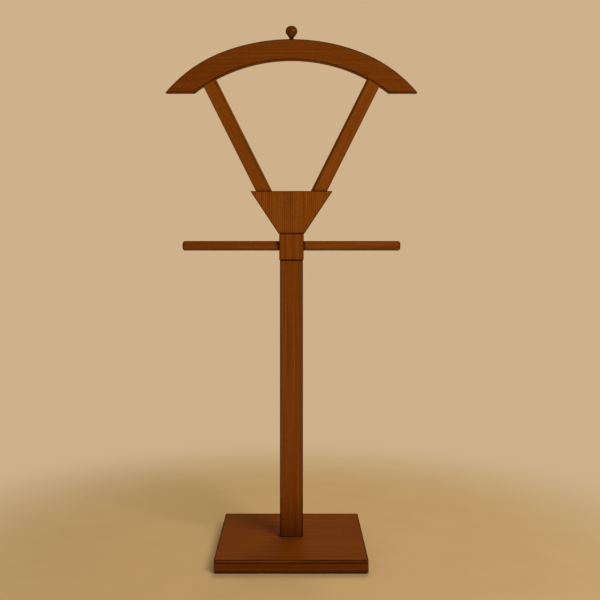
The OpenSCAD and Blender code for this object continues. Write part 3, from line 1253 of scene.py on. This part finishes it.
@dataclass
class Base:
    """The square base: lower board, top panel over a shadow groove, felt pads and the foot bolt's recess.

    Fields:
        shop: the shared trees and finishes.
        corner: radius of the upright corners.
        groove: height and depth of the shadow groove.
        recess_spare: how far the recess clears the washer.
        recess_bevel: the bevel round the recess.
        edge: radius of the rounded edges.
        lip: radius of the board's edge under the groove.
        under_edge: radius of the panel's lower edge.
        fade_up, fade_down: how far painted shade reaches from the groove and from the top edge onto the
            panel's side.
        top_rim: how far its full strength reaches onto the panel's top.
    """

    shop: Workshop
    corner: float = 3.0 * MM
    groove: float = 1.6 * MM
    recess_spare: float = 1.0 * MM
    recess_bevel: float = 0.5 * MM
    edge: float = 1.4 * MM
    lip: float = 0.8 * MM
    under_edge: float = 0.5 * MM
    fade_up: float = 1.4 * MM
    fade_down: float = 0.7 * MM
    top_rim: float = 0.4 * MM

    def build(self) -> None:
        """Builds and dresses the base."""
        self.board()
        self.panel()
        self.pads()

    def board(self) -> None:
        """The lower board, rebated along its top edge, with the bolt's recess in its underside."""
        low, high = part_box("base_board")
        middle, half = (low + high) / 2, (high - low) / 2
        rebate = high.z - self.groove
        washer_low, washer_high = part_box("foot_washer")
        recess = (washer_high.x - washer_low.x) / 2 + self.recess_spare
        skin = SlabSkin((half.x, half.y), self.corner)
        skin.hole(washer_high.z, recess)
        skin.hole(low.z + self.recess_bevel, recess)
        skin.hole(low.z, recess + self.recess_bevel)
        skin.at(low.z, self.edge + SHADE_BAND)
        # painted shade along the underside's edge
        skin.round_under(low.z, self.edge, dark=1.0)
        skin.at(low.z + self.edge + SHADE_BAND)
        skin.round_over(rebate, self.lip, dark=0.0)
        # painted shadow in the groove under the panel
        skin.at(rebate, self.groove, arris=1.0)
        skin.at(high.z, self.groove, arris=1.0)
        board = slab("base_lower_board", middle, skin.rings)
        # the board's darker tone (bias below 0) is painted shade on its low front
        wood = StainedWood("wood_base_board", Grain.LEVEL, heart=(0.09, 0.035), bias=-0.25, shift=0.31)
        dress(board, wood.make(), Slot.STAINED_WOOD, ["base_board"])

    def panel(self) -> None:
        """The top panel."""
        low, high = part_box("base_top_panel")
        middle, half = (low + high) / 2, (high - low) / 2
        skin = SlabSkin((half.x, half.y), self.corner)
        # painted shade along the lower edge over the groove and along the top edge, fading onto the side
        skin.round_under(low.z, self.under_edge, dark=1.0)
        skin.at(low.z + self.fade_up, arris=0.2)
        skin.at(high.z - self.edge - self.fade_down, arris=0.1)
        skin.round_over(high.z, self.edge, dark=1.0)
        skin.at(high.z, self.edge + self.top_rim, arris=0.9)
        skin.at(high.z, self.edge + self.top_rim + SHADE_BAND)
        panel = slab("base_panel", middle, skin.rings)
        wood = StainedWood(
            "wood_base_panel", Grain.LEVEL, heart=(0.055, 0.12), bias=0.04, shift=1.7, ring_gap=4.2 * MM
        )
        dress(panel, wood.make(), Slot.STAINED_WOOD, ["base_top_panel"])

    def pads(self) -> None:
        """The four felt pads, in one piece."""
        names = [f"felt_pad_{y}_{x}" for y in ("front", "back") for x in ("left", "right")]
        left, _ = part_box("felt_pad_front_left")
        right_low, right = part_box("felt_pad_back_right")
        radius = (right.x - right_low.x) / 2
        values = {
            "Spread X": right.x - left.x - 2 * radius,
            "Spread Y": right.y - left.y - 2 * radius,
            "Radius": radius,
            "Thickness": right.z - right_low.z,
            "Finish": self.shop.felt,
        }
        pads = orient(run_tree(new_piece("felt_pads"), self.shop.pads, values))
        dress(pads, self.shop.felt, Slot.FELT, names, sharp=35.0)


@dataclass
class Column:
    """The post, the collar block and the trouser bar through it.

    Fields:
        shop: the shared trees and finishes.
        post_edge: how far the post's edges are rounded.
        collar_edge: how far the collar's edges are rounded.
        broken: the share of that rounding on an edge that is only just broken.
        joint_share: the share of it where the collar meets the yoke.
        bar_bevel: length of the bevel at each end of the bar.
        bar_gap: how much wider a hole is than what sits in it, on each side.
        sink_mouth: how far outside the collar the countersink starts.
    """

    shop: Workshop
    post_edge: float = 1.5 * MM
    collar_edge: float = 1.5 * MM
    broken: float = 0.3
    joint_share: float = 0.6
    bar_bevel: float = 3.0 * MM
    bar_gap: float = 0.1 * MM
    sink_mouth: float = 1.0 * MM

    def build(self) -> None:
        """Builds and dresses the column."""
        self.post()
        self.collar()
        self.bar()

    def post(self) -> None:
        """The post."""
        low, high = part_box("post")
        post = prism("post_board", box_outline(low, high), low.y, high.y)
        middle, near_end = middle_of("post").z, 0.49 * (high.z - low.z)

        def share(place: Vector) -> float:
            """The edges round the post's two ends are only just broken."""
            return self.broken if abs(place.z - middle) > near_end else 1.0

        ease_edges(post, self.post_edge, share)
        wood = StainedWood(
            "wood_post", Grain.UPRIGHT, heart=(0.07, 0.02), bias=0.03, figure=0.5, shift=0.9, foot_shade=0.50
        )
        dress(post, wood.make(), Slot.STAINED_WOOD, ["post"])

    def collar(self) -> None:
        """The collar block, bored for the bar and countersunk for the lock screw."""
        low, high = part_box("collar_block")
        collar = prism("collar", box_outline(low, high), low.y, high.y)
        bar_low, bar_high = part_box("trouser_bar")
        bore = (bar_high.z - bar_low.z) / 2 + self.bar_gap
        start = Vector((2 * low.x, 0.0, (bar_low.z + bar_high.z) / 2))
        profile = [(0.0, 0.0), (0.0, bore), (4 * high.x, bore), (4 * high.x, 0.0)]
        cutters = [self.shop.turn("bore", start, Vector((1, 0, 0)), profile)]
        screw_low, screw_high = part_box("bar_lock_screw")
        head = (screw_high.x - screw_low.x) / 2 + self.bar_gap
        mouth, axis = self.sink_mouth, (screw_low.z + screw_high.z) / 2
        start = Vector((0.0, screw_high.y + mouth, axis))
        profile = [(0.0, 0.0), (0.0, head), (mouth, head), (mouth + head / 2, head / 2)]
        profile += [(mouth + 4 * head, head / 2), (mouth + 4 * head, 0.0)]
        cutters.append(self.shop.turn("countersink", start, Vector((0, -1, 0)), profile))
        cut_away(collar, cutters)

        def share(place: Vector) -> float:
            """Holes are only just broken, and the joint with the yoke is rounded less."""
            at_hole = math.hypot(place.z - axis, min(abs(place.y), abs(place.x))) < 1.2 * bore
            return self.broken if at_hole else self.joint_share if place.z > high.z - WELD else 1.0

        ease_edges(collar, self.collar_edge, share, angle=40.0)
        wood = StainedWood(
            "wood_collar", Grain.UPRIGHT, heart=(0.03, 0.05), bias=0.12, figure=0.2, streak=0.8, shift=2.6
        )
        dress(collar, wood.make(), Slot.STAINED_WOOD, ["collar_block"])

    def bar(self) -> None:
        """The round trouser bar, with its ends bevelled and eased."""
        low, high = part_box("trouser_bar")
        half, radius = (high.x - low.x) / 2, (high.z - low.z) / 2
        collar_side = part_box("collar_block")[1].x
        bevel = self.bar_bevel
        # the end's face, its eased rim, the bevel, and its eased start
        end = [(0.0, 0.0), (0.0, radius - bevel - 0.4 * MM), (0.05 * MM, radius - bevel)]
        end += [(0.4 * MM, radius - bevel + 0.5 * MM), (bevel - 0.5 * MM, radius - 0.35 * MM)]
        end += [(bevel, radius - 0.06 * MM)]
        # the round: close rings where the painted shade fades out, and even ones between
        end += [(bevel + step * MM, radius) for step in (0.6, 2.0, 4.0)]
        beside = [half - collar_side - step * MM for step in (6.0, 4.0, 2.0, 0.0)]
        first = end[-1][0]
        end += [(first + (beside[0] - first) * i / 10, radius) for i in range(1, 10)]
        end += [(distance, radius) for distance in beside]
        profile = end + [(2 * half - distance, r) for distance, r in reversed(end)]
        axis_z = middle_of("trouser_bar").z
        bar = self.shop.turn("bar", Vector((low.x, 0.0, axis_z)), Vector((1, 0, 0)), profile)
        self.shade_bar(bar, axis_z, half, radius, collar_side)
        wood = StainedWood("wood_bar", Grain.LEVEL, heart=(0.02, 0.012), bias=0.08, figure=0.6, shift=4.1)
        dress(bar, wood.make(), Slot.STAINED_WOOD, ["trouser_bar"], sharp=CRISP)

    def shade_bar(self, bar: Object, axis_z: float, half: float, radius: float, collar_side: float) -> None:
        """Marks painted shade on the bar: at its ends, a painted shadow beside the collar, and painted shade
        above and below.

        Args:
            bar: the turned bar.
            axis_z: height of its axis.
            half: half its length.
            radius: its radius.
            collar_side: x of the collar's right side.
        """
        values = []
        for vertex in bar.data.vertices:
            x, up = abs(vertex.co.x), abs(vertex.co.z - axis_z)
            # painted shade at the ends
            end_share = 0.25 if up + abs(vertex.co.y) < MM else 1.0
            at_end = end_share * fall(half - x, 1.2 * MM, 4.5 * MM)
            # painted shadow of the collar on the bar
            collar_shadow = fall(x - collar_side, 1.0 * MM, 5.0 * MM)
            # and painted shade along the bar's top and bottom
            values.append(max(at_end, collar_shadow, 0.9 * fall(radius - up, 1.2 * MM, 2.8 * MM)))
        write_arris(bar.data, values)


def fall(distance: float, full: float, none: float) -> float:
    """1 up to the full distance, falling evenly to 0 at the distance where there is none."""
    return min(1.0, max(0.0, (none - distance) / (none - full)))


@dataclass
class Head:
    """The yoke, the two leaning arms, the shoulder arch and the finial.

    Fields:
        shop: the shared trees and finishes.
        yoke_foot_spare: how far the yoke's foot stands out past the collar at each side.
        yoke_edge, arm_edge, arch_edge: how far those pieces' edges are rounded.
        yoke_joint_share, arm_joint_share: the share of that rounding at their lower ends.
        arm_width: the arms' width.
        arm_inner_bevel: the bevel on the arms' inner edges.
        arm_foot_reach: how far along the arm its lower end counts as such.
        end_cut: length of the arch's level cut at each end.
        crown_band: the arch's height in its middle.
        flatness: the crown arc's radius against one plain arc's.
        turn_share: where the crown turns into the shoulder, as a share of the plain arc's half angle.
        half_columns: columns in half the arch.
        tip_taper: how far from the tip the arch's rounding starts to narrow.
        tip_share: the share of it that is left at the tip.
    """

    shop: Workshop
    yoke_foot_spare: float = 1.6 * MM
    yoke_edge: float = 1.2 * MM
    arm_width: float = 29.0 * MM
    arm_inner_bevel: float = 3.5 * MM
    arm_edge: float = 0.75 * MM
    arch_edge: float = 1.2 * MM
    end_cut: float = 56.1 * MM
    crown_band: float = 40.4 * MM
    flatness: float = 1.1
    turn_share: float = 0.46
    half_columns: int = 128
    tip_taper: float = 12.0 * MM
    tip_share: float = 0.1
    yoke_joint_share: float = 0.6
    arm_joint_share: float = 0.4
    arm_foot_reach: float = 3.0 * MM

    def __post_init__(self) -> None:
        """Works out the arch's arcs from its box and its rule."""
        low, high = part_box("shoulder_arch")
        rise = high.z - low.z
        self.tip_x = (high.x - low.x) / 2
        self.heel_x = self.tip_x - self.end_cut
        self.end_z = low.z
        sag = rise - self.crown_band
        self.under_radius = (self.heel_x**2 + sag**2) / (2 * sag)
        self.under_centre_z = high.z - self.crown_band - self.under_radius
        plain_radius = (self.tip_x**2 + rise**2) / (2 * rise)
        self.crown_radius = self.flatness * plain_radius
        self.crown_centre_z = high.z - self.crown_radius
        turn = self.turn_share * math.asin(self.tip_x / plain_radius)
        turn_dir = Vector((math.sin(turn), math.cos(turn)))
        tip = Vector((self.tip_x, self.crown_radius - rise))
        from_turn = tip - self.crown_radius * turn_dir
        self.shoulder_radius = from_turn.length_squared / (2 * (self.crown_radius - tip.dot(turn_dir)))
        self.shoulder_centre = (self.crown_radius - self.shoulder_radius) * turn_dir
        self.turn_x = self.crown_radius * turn_dir.x
        self.front, self.back = low.y, high.y

    def build(self) -> None:
        """Builds and dresses the head."""
        self.yoke()
        self.arm("left", -1)
        self.arm("right", 1)
        self.arch()
        self.finial()

    def yoke(self) -> None:
        """The flared yoke."""
        low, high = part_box("yoke")
        collar_low, collar_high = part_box("collar_block")
        foot = (collar_high.x - collar_low.x) / 2 + self.yoke_foot_spare
        outline = [(-foot, low.z), (foot, low.z), (high.x, high.z), (low.x, high.z)]
        yoke = prism("yoke_board", outline, low.y, high.y)

        def share(place: Vector) -> float:
            """The edges at the yoke's foot are rounded less."""
            return self.yoke_joint_share if place.z < low.z + WELD else 1.0

        ease_edges(yoke, self.yoke_edge, share)
        wood = StainedWood(
            "wood_yoke", Grain.UPRIGHT, heart=(0.42, 0.05), bias=0.26, figure=3.2, wander=0.9, shift=3.4,
            ring_gap=4.1 * MM,
        )  # fmt: skip
        dress(yoke, wood.make(), Slot.STAINED_WOOD, ["yoke"])

    def arm(self, side_name: str, side: int) -> None:
        """A leaning arm, cut level on the yoke and hollow against the arch's underside.

        Args:
            side_name: left or right.
            side: -1 for left, 1 for right.
        """
        node = f"{side_name}_arm"
        foot, top = (middle_of(f"{node}_{end}_dowels") for end in ("foot", "top"))
        along = (top - foot).normalized()
        outwards = Vector((along.z, 0.0, -along.x)) * side
        low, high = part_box(node)
        lower, upper = [], []
        for across, y in self.arm_section(low.y, high.y):
            start = foot + outwards * across
            level = start + along * ((low.z - start.z) / along.z)
            hollow = level + along * self.to_underside(level, along)
            lower.append((level.x, y, level.z))
            upper.append((hollow.x, y, hollow.z))
        piece = shell(f"{side_name}_arm_board", [upper, lower])

        def share(place: Vector) -> float:
            """The edges at the arm's foot are rounded less."""
            near_foot = (place.xz - foot.xz).dot(along.xz) < self.arm_foot_reach
            return self.arm_joint_share if near_foot else 1.0

        ease_edges(piece, self.arm_edge, share)
        wood = StainedWood(
            f"wood_{side_name}_arm", Grain.UPRIGHT, lean=math.atan2(along.x, along.z), heart=(0.05, 0.03),
            bias=0.26, figure=0.6, streak=0.75, shift=1.3 + side,
        )  # fmt: skip
        dress(piece, wood.make(), Slot.STAINED_WOOD, [node])

    def arm_section(self, front: float, back: float) -> list[tuple[float, float]]:
        """The arm's section, with a wide bevel on its inner edges.

        Args:
            front: y of the front face.
            back: y of the back face.

        Returns:
            (distance outwards from the centre line, y) of each corner.
        """
        half, inner, cuts = self.arm_width / 2, self.arm_inner_bevel, 6
        face = [-half + inner + (2 * half - inner) * i / cuts for i in range(cuts + 1)]
        section = [(across, front) for across in face]
        section += [(across, back) for across in reversed(face)]
        return section + [(-half, back - inner), (-half, front + inner)]

    def to_underside(self, start: Vector, along: Vector) -> float:
        """How far it is to the arch's underside.

        Args:
            start: where to measure from.
            along: the direction to measure in, of length 1.

        Returns:
            The distance.
        """
        x, z = start.x, start.z - self.under_centre_z
        b = x * along.x + z * along.z
        c = x * x + z * z - self.under_radius**2
        return -b + math.sqrt(b * b - c)

    def arch(self) -> None:
        """The shoulder arch."""
        heel_column = round(self.half_columns * self.heel_x / self.tip_x)
        border = self.arch_edge + SHADE_BAND
        values = {
            "Half Width": self.tip_x,
            "Heel X": self.heel_x,
            "Heel Share": heel_column / self.half_columns,
            "End Z": self.end_z,
            "Crown Radius": self.crown_radius,
            "Crown Centre Z": self.crown_centre_z,
            "Turn X": self.turn_x,
            "Shoulder Radius": self.shoulder_radius,
            "Shoulder X": self.shoulder_centre.x,
            "Shoulder Z": self.crown_centre_z + self.shoulder_centre.y,
            "Under Radius": self.under_radius,
            "Under Centre Z": self.under_centre_z,
            "Front Y": self.front,
            "Depth": self.back - self.front,
            "Border": border,
            "Columns": 2 * self.half_columns + 1,
            "Finish": self.shop.felt,
        }
        arch = orient(run_tree(new_piece("arch_board"), self.shop.arch, values))
        slice_level(arch, [self.front + border, self.back - border])

        def share(place: Vector) -> float:
            """The rounding narrows towards the tips."""
            return min(1.0, max(self.tip_share, (self.tip_x - abs(place.x)) / self.tip_taper))

        ease_edges(arch, self.arch_edge, share, inset=False)
        wood = StainedWood(
            "wood_arch", Grain.LEVEL, heart=(-0.93, 0.07), figure=0.5, streak=0.6, shift=5.2,
            ring_gap=4.5 * MM,
        )  # fmt: skip
        dress(arch, wood.make(), Slot.STAINED_WOOD, ["shoulder_arch"])

    def finial(self) -> None:
        """The turned finial: neck, flaring cone, rounded shoulder and flattened dome."""
        low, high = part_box("finial")
        middle = middle_of("finial")
        profile = FinialProfile(height=high.z - low.z - WELD, radius=(high.x - low.x) / 2 - WELD)
        start = Vector((middle.x, middle.y, low.z))
        finial = self.shop.turn("finial_knob", start, Vector((0, 0, 1)), profile.points(), sides=72)
        values = []
        for vertex in finial.data.vertices:
            # painted shade on the neck and along the rim of the top
            neck_shade = fall(vertex.co.z - low.z, 5.5 * MM, 8.5 * MM)
            values.append(max(neck_shade, 0.8 * fall(high.z - vertex.co.z, 0.8 * MM, 2.6 * MM)))
        write_arris(finial.data, values)
        wood = StainedWood(
            "wood_finial", Grain.UPRIGHT, heart=(0.02, 0.01), bias=-0.30, figure=0.3, streak=0.25, shift=6.3,
            matt=0.08, shine=0.7,
        )  # fmt: skip
        dress(finial, wood.make(), Slot.STAINED_WOOD, ["finial"], sharp=CRISP)


@dataclass
class FinialProfile:
    """The finial's profile from its foot up.

    Fields:
        height: from the seat to the top.
        radius: at its widest.
        seat: how far the foot is let into the arch.
        wide: height of the widest place above the arch.
        flat: radius of the flat on top.
        neck: the neck's radius.
        neck_top: height of its top above the arch.
        lead: how far under the neck's top its fillet starts.
        fillet: the fillet's length.
        flare: angle at which the shoulder takes over from the cone.
        shoulder_share: the shoulder's radius as a share of the widest.
        steps: straight lines in each curve.
    """

    height: float
    radius: float
    seat: float = 0.6 * MM
    wide: float = 16.8 * MM
    flat: float = 3.0 * MM
    neck: float = 4.5 * MM
    neck_top: float = 4.6 * MM
    flare: float = math.radians(37)
    shoulder_share: float = 0.63
    lead: float = 0.8 * MM
    fillet: float = 1.8 * MM
    steps: int = 10

    def points(self) -> list[tuple[float, float]]:
        """The profile as points.

        Returns:
            (height above the foot, radius) of each point.
        """
        steps = self.steps
        shoulder = self.shoulder_share * self.radius
        wide = self.wide + self.seat
        neck_top = self.neck_top + self.seat
        foot = neck_top - self.lead
        points = [(0.0, 0.0), (0.0, self.neck), (foot, self.neck)]
        start = (wide - shoulder * math.sin(self.flare), self.radius - shoulder * (1 - math.cos(self.flare)))
        # a small fillet eases the neck into the cone, which then runs straight to the shoulder
        slope = (start[1] - self.neck) / (start[0] - neck_top)
        for i in range(1, steps + 1):
            t = i / steps
            points.append((foot + self.fillet * t, self.neck + slope * (self.fillet - self.lead) * t * t))
        cone_start = points[-1]
        for i in range(1, steps):
            t = i / steps
            points.append(tuple(a + (b - a) * t for a, b in zip(cone_start, start)))
        for i in range(steps + 1):
            a = self.flare * (1 - i / steps)
            points.append((wide - shoulder * math.sin(a), self.radius - shoulder * (1 - math.cos(a))))
        for i in range(1, 2 * steps + 1):
            a = math.pi / 2 * i / (2 * steps)
            up, out = (self.height - wide) * math.sin(a), (self.radius - self.flat) * math.cos(a)
            points.append((wide + up, self.flat + out))
        return points + [(self.height, self.flat * 0.5), (self.height, 0.0)]


def middle_of(node: str) -> Vector:
    """The middle of a CAD node's box."""
    low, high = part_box(node)
    return (low + high) / 2


# --------------------------------------------------------------------------------------------------------
# Studio
# --------------------------------------------------------------------------------------------------------


@dataclass(frozen=True)
class SoftLight:
    """A soft box aimed at the stand.

    Fields:
        name: the light's name.
        place: where it stands.
        width: the side of its square face.
        watts: its power.
        colour: its colour.
        aim: where it points.
        in_gloss: whether the varnish mirrors it.
    """

    name: str
    place: tuple[float, float, float]
    width: float
    watts: float
    colour: Colour = (1.0, 0.84, 0.62)
    aim: tuple[float, float, float] = (0.0, 0.0, 0.62)
    in_gloss: bool = False

    def make(self) -> Object:
        """Builds the light.

        Returns:
            The light's object.
        """
        data = bpy.data.lights.new(self.name, "AREA")
        data.shape = "SQUARE"
        data.size = self.width
        data.energy = self.watts
        data.color = self.colour
        light = bpy.data.objects.new(self.name, data)
        light.location = self.place
        light.rotation_euler = (Vector(self.aim) - Vector(self.place)).to_track_quat("-Z", "Y").to_euler()
        light.visible_glossy = self.in_gloss
        light.visible_camera = False
        bpy.context.scene.collection.objects.link(light)
        return light


@dataclass
class Studio:
    """A plain pale floor that fades into an even backdrop, soft lights, and the camera.

    Fields:
        backdrop: the backdrop's colour.
        floor: the floor's colour near the stand.
        ambient: how bright the backdrop is as light on the stand.
        mirrored: how bright it is in the varnish.
        floor_radius: the floor's radius.
        fade_from, fade_to: distances from the stand between which the floor turns into the backdrop.
        eye: where the camera stands.
        lens: its focal length, in millimetres.
        sensor: its sensor's width, in millimetres.
        shift: its shift across and up, as a share of the frame.
        lights: the lights.
    """

    backdrop: Colour = (0.622, 0.445, 0.262)
    floor: Colour = (0.64, 0.50, 0.295)
    ambient: float = 0.42
    mirrored: float = 0.14
    floor_radius: float = 9.0
    fade_from: float = 0.36
    fade_to: float = 1.1
    eye: tuple[float, float, float] = (0.0054, -1.741, 0.5936)
    lens: float = 52.4
    sensor: float = 36.0
    shift: tuple[float, float] = (0.0097, -0.0833)
    lights: tuple[SoftLight, ...] = (
        SoftLight("key_right", (1.5, -1.9, 2.3), 1.3, 50.0),
        SoftLight("gleam_right", (1.3, -1.9, 2.0), 0.5, 6.0, in_gloss=True),
        SoftLight("fill_left", (-1.9, -1.7, 1.3), 1.6, 1.5),
        SoftLight("top_back", (0.3, 1.7, 2.4), 1.4, 29.0),
        SoftLight("bounce_front", (0.0, -0.9, 0.03), 1.0, 4.6, aim=(0.0, -0.9, 1.0)),
        SoftLight("bounce_back", (0.0, 0.8, 0.03), 1.0, 9.0, aim=(0.0, 0.8, 1.0)),
    )

    def build(self) -> None:
        """Builds the floor, the world, the lights and the camera."""
        self.make_floor()
        self.make_world()
        for light in self.lights:
            light.make()
        self.make_camera()

    def make_floor(self) -> None:
        """The floor, a wide disc."""
        work = bmesh.new()
        bmesh.ops.create_circle(work, cap_ends=True, segments=128, radius=self.floor_radius)
        piece = new_piece("floor")
        work.to_mesh(piece.data)
        work.free()
        piece.data.materials.append(self.floor_material())

    def floor_material(self) -> Material:
        """Pale matt floor near the stand, turning into the backdrop's own colour further out.

        Returns:
            The material.
        """
        material, bench, shader = new_material("pale_floor")
        place = bench.place()
        mottle = bench.noise(place, 9.0, 3.0)
        pale = bench.blend(bench.span(mottle, 0.3, 0.7), self.floor, tuple(0.94 * c for c in self.floor))
        bench.feed(shader.inputs["Base Color"], pale)
        bench.feed(shader.inputs["Roughness"], bench.span(mottle, 0.3, 0.7, 0.50, 0.60))
        shader.inputs["Specular IOR Level"].default_value = 0.25
        glow = bench.add("ShaderNodeEmission", self.glowing(bench))
        distance = bench.add("ShaderNodeVectorMath", {0: place}, operation="LENGTH").outputs["Value"]
        limits = {"Value": distance, "From Min": self.fade_from, "From Max": self.fade_to}
        far = bench.add("ShaderNodeMapRange", limits, interpolation_type="SMOOTHERSTEP").outputs["Result"]
        mixed = bench.add("ShaderNodeMixShader", {0: far, 1: shader.outputs["BSDF"], 2: glow.outputs[0]})
        output = next(n for n in material.node_tree.nodes if n.type == "OUTPUT_MATERIAL")
        bench.feed(output.inputs["Surface"], mixed.outputs[0])
        return material

    def make_world(self) -> None:
        """An even backdrop to the eye, and a dimmer even light for the stand."""
        world = bpy.data.worlds.new("studio")
        bpy.context.scene.world = world
        world.use_nodes = True
        world.node_tree.nodes.clear()
        bench = Bench(world.node_tree)
        even = bench.add("ShaderNodeBackground", self.glowing(bench))
        bench.add("ShaderNodeOutputWorld", {"Surface": even.outputs[0]})

    def glowing(self, bench: Bench) -> dict[str, object]:
        """How the surroundings shine: full to the eye, dimmer as light on the stand and in its gloss.

        Args:
            bench: the bench on the tree that needs it.

        Returns:
            The colour and strength to give the node that shines.
        """
        path = bench.add("ShaderNodeLightPath").outputs
        lit = bench.math("MULTIPLY_ADD", path["Is Glossy Ray"], self.mirrored - self.ambient, self.ambient)
        return {"Color": (*self.backdrop, 1.0), "Strength": bench.math("MAXIMUM", path["Is Camera Ray"], lit)}

    def make_camera(self) -> None:
        """A level camera in front of the stand, at about half its height."""
        data = bpy.data.cameras.new("camera")
        data.lens = self.lens
        data.sensor_width = self.sensor
        data.shift_x, data.shift_y = self.shift
        camera = bpy.data.objects.new("camera", data)
        camera.location = self.eye
        camera.rotation_euler = (math.pi / 2, 0.0, 0.0)
        bpy.context.scene.collection.objects.link(camera)
        bpy.context.scene.camera = camera
        bpy.context.scene.view_settings.view_transform = "Standard"


def main() -> None:
    """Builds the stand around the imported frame, then the studio."""
    logging.basicConfig(level=logging.INFO, format="%(name)s: %(message)s")
    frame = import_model()
    shop = Workshop()
    for part in (Base(shop), Column(shop), Head(shop)):
        part.build()
    nodes = frame["nodes"]
    dowels = [name for name in nodes if name.endswith("dowels")]
    refinish(nodes, dowels, shop.beech, Slot.RAW_BEECH)
    steel = ["foot_bolt", "foot_washer", "bar_lock_screw", "finial_stud"]
    refinish(nodes, steel, shop.metal, Slot.ZINC_STEEL)
    refinish(nodes, ["insert_nut"], shop.brass, Slot.BRASS)
    Studio().build()


if __name__ == "__main__":
    main()
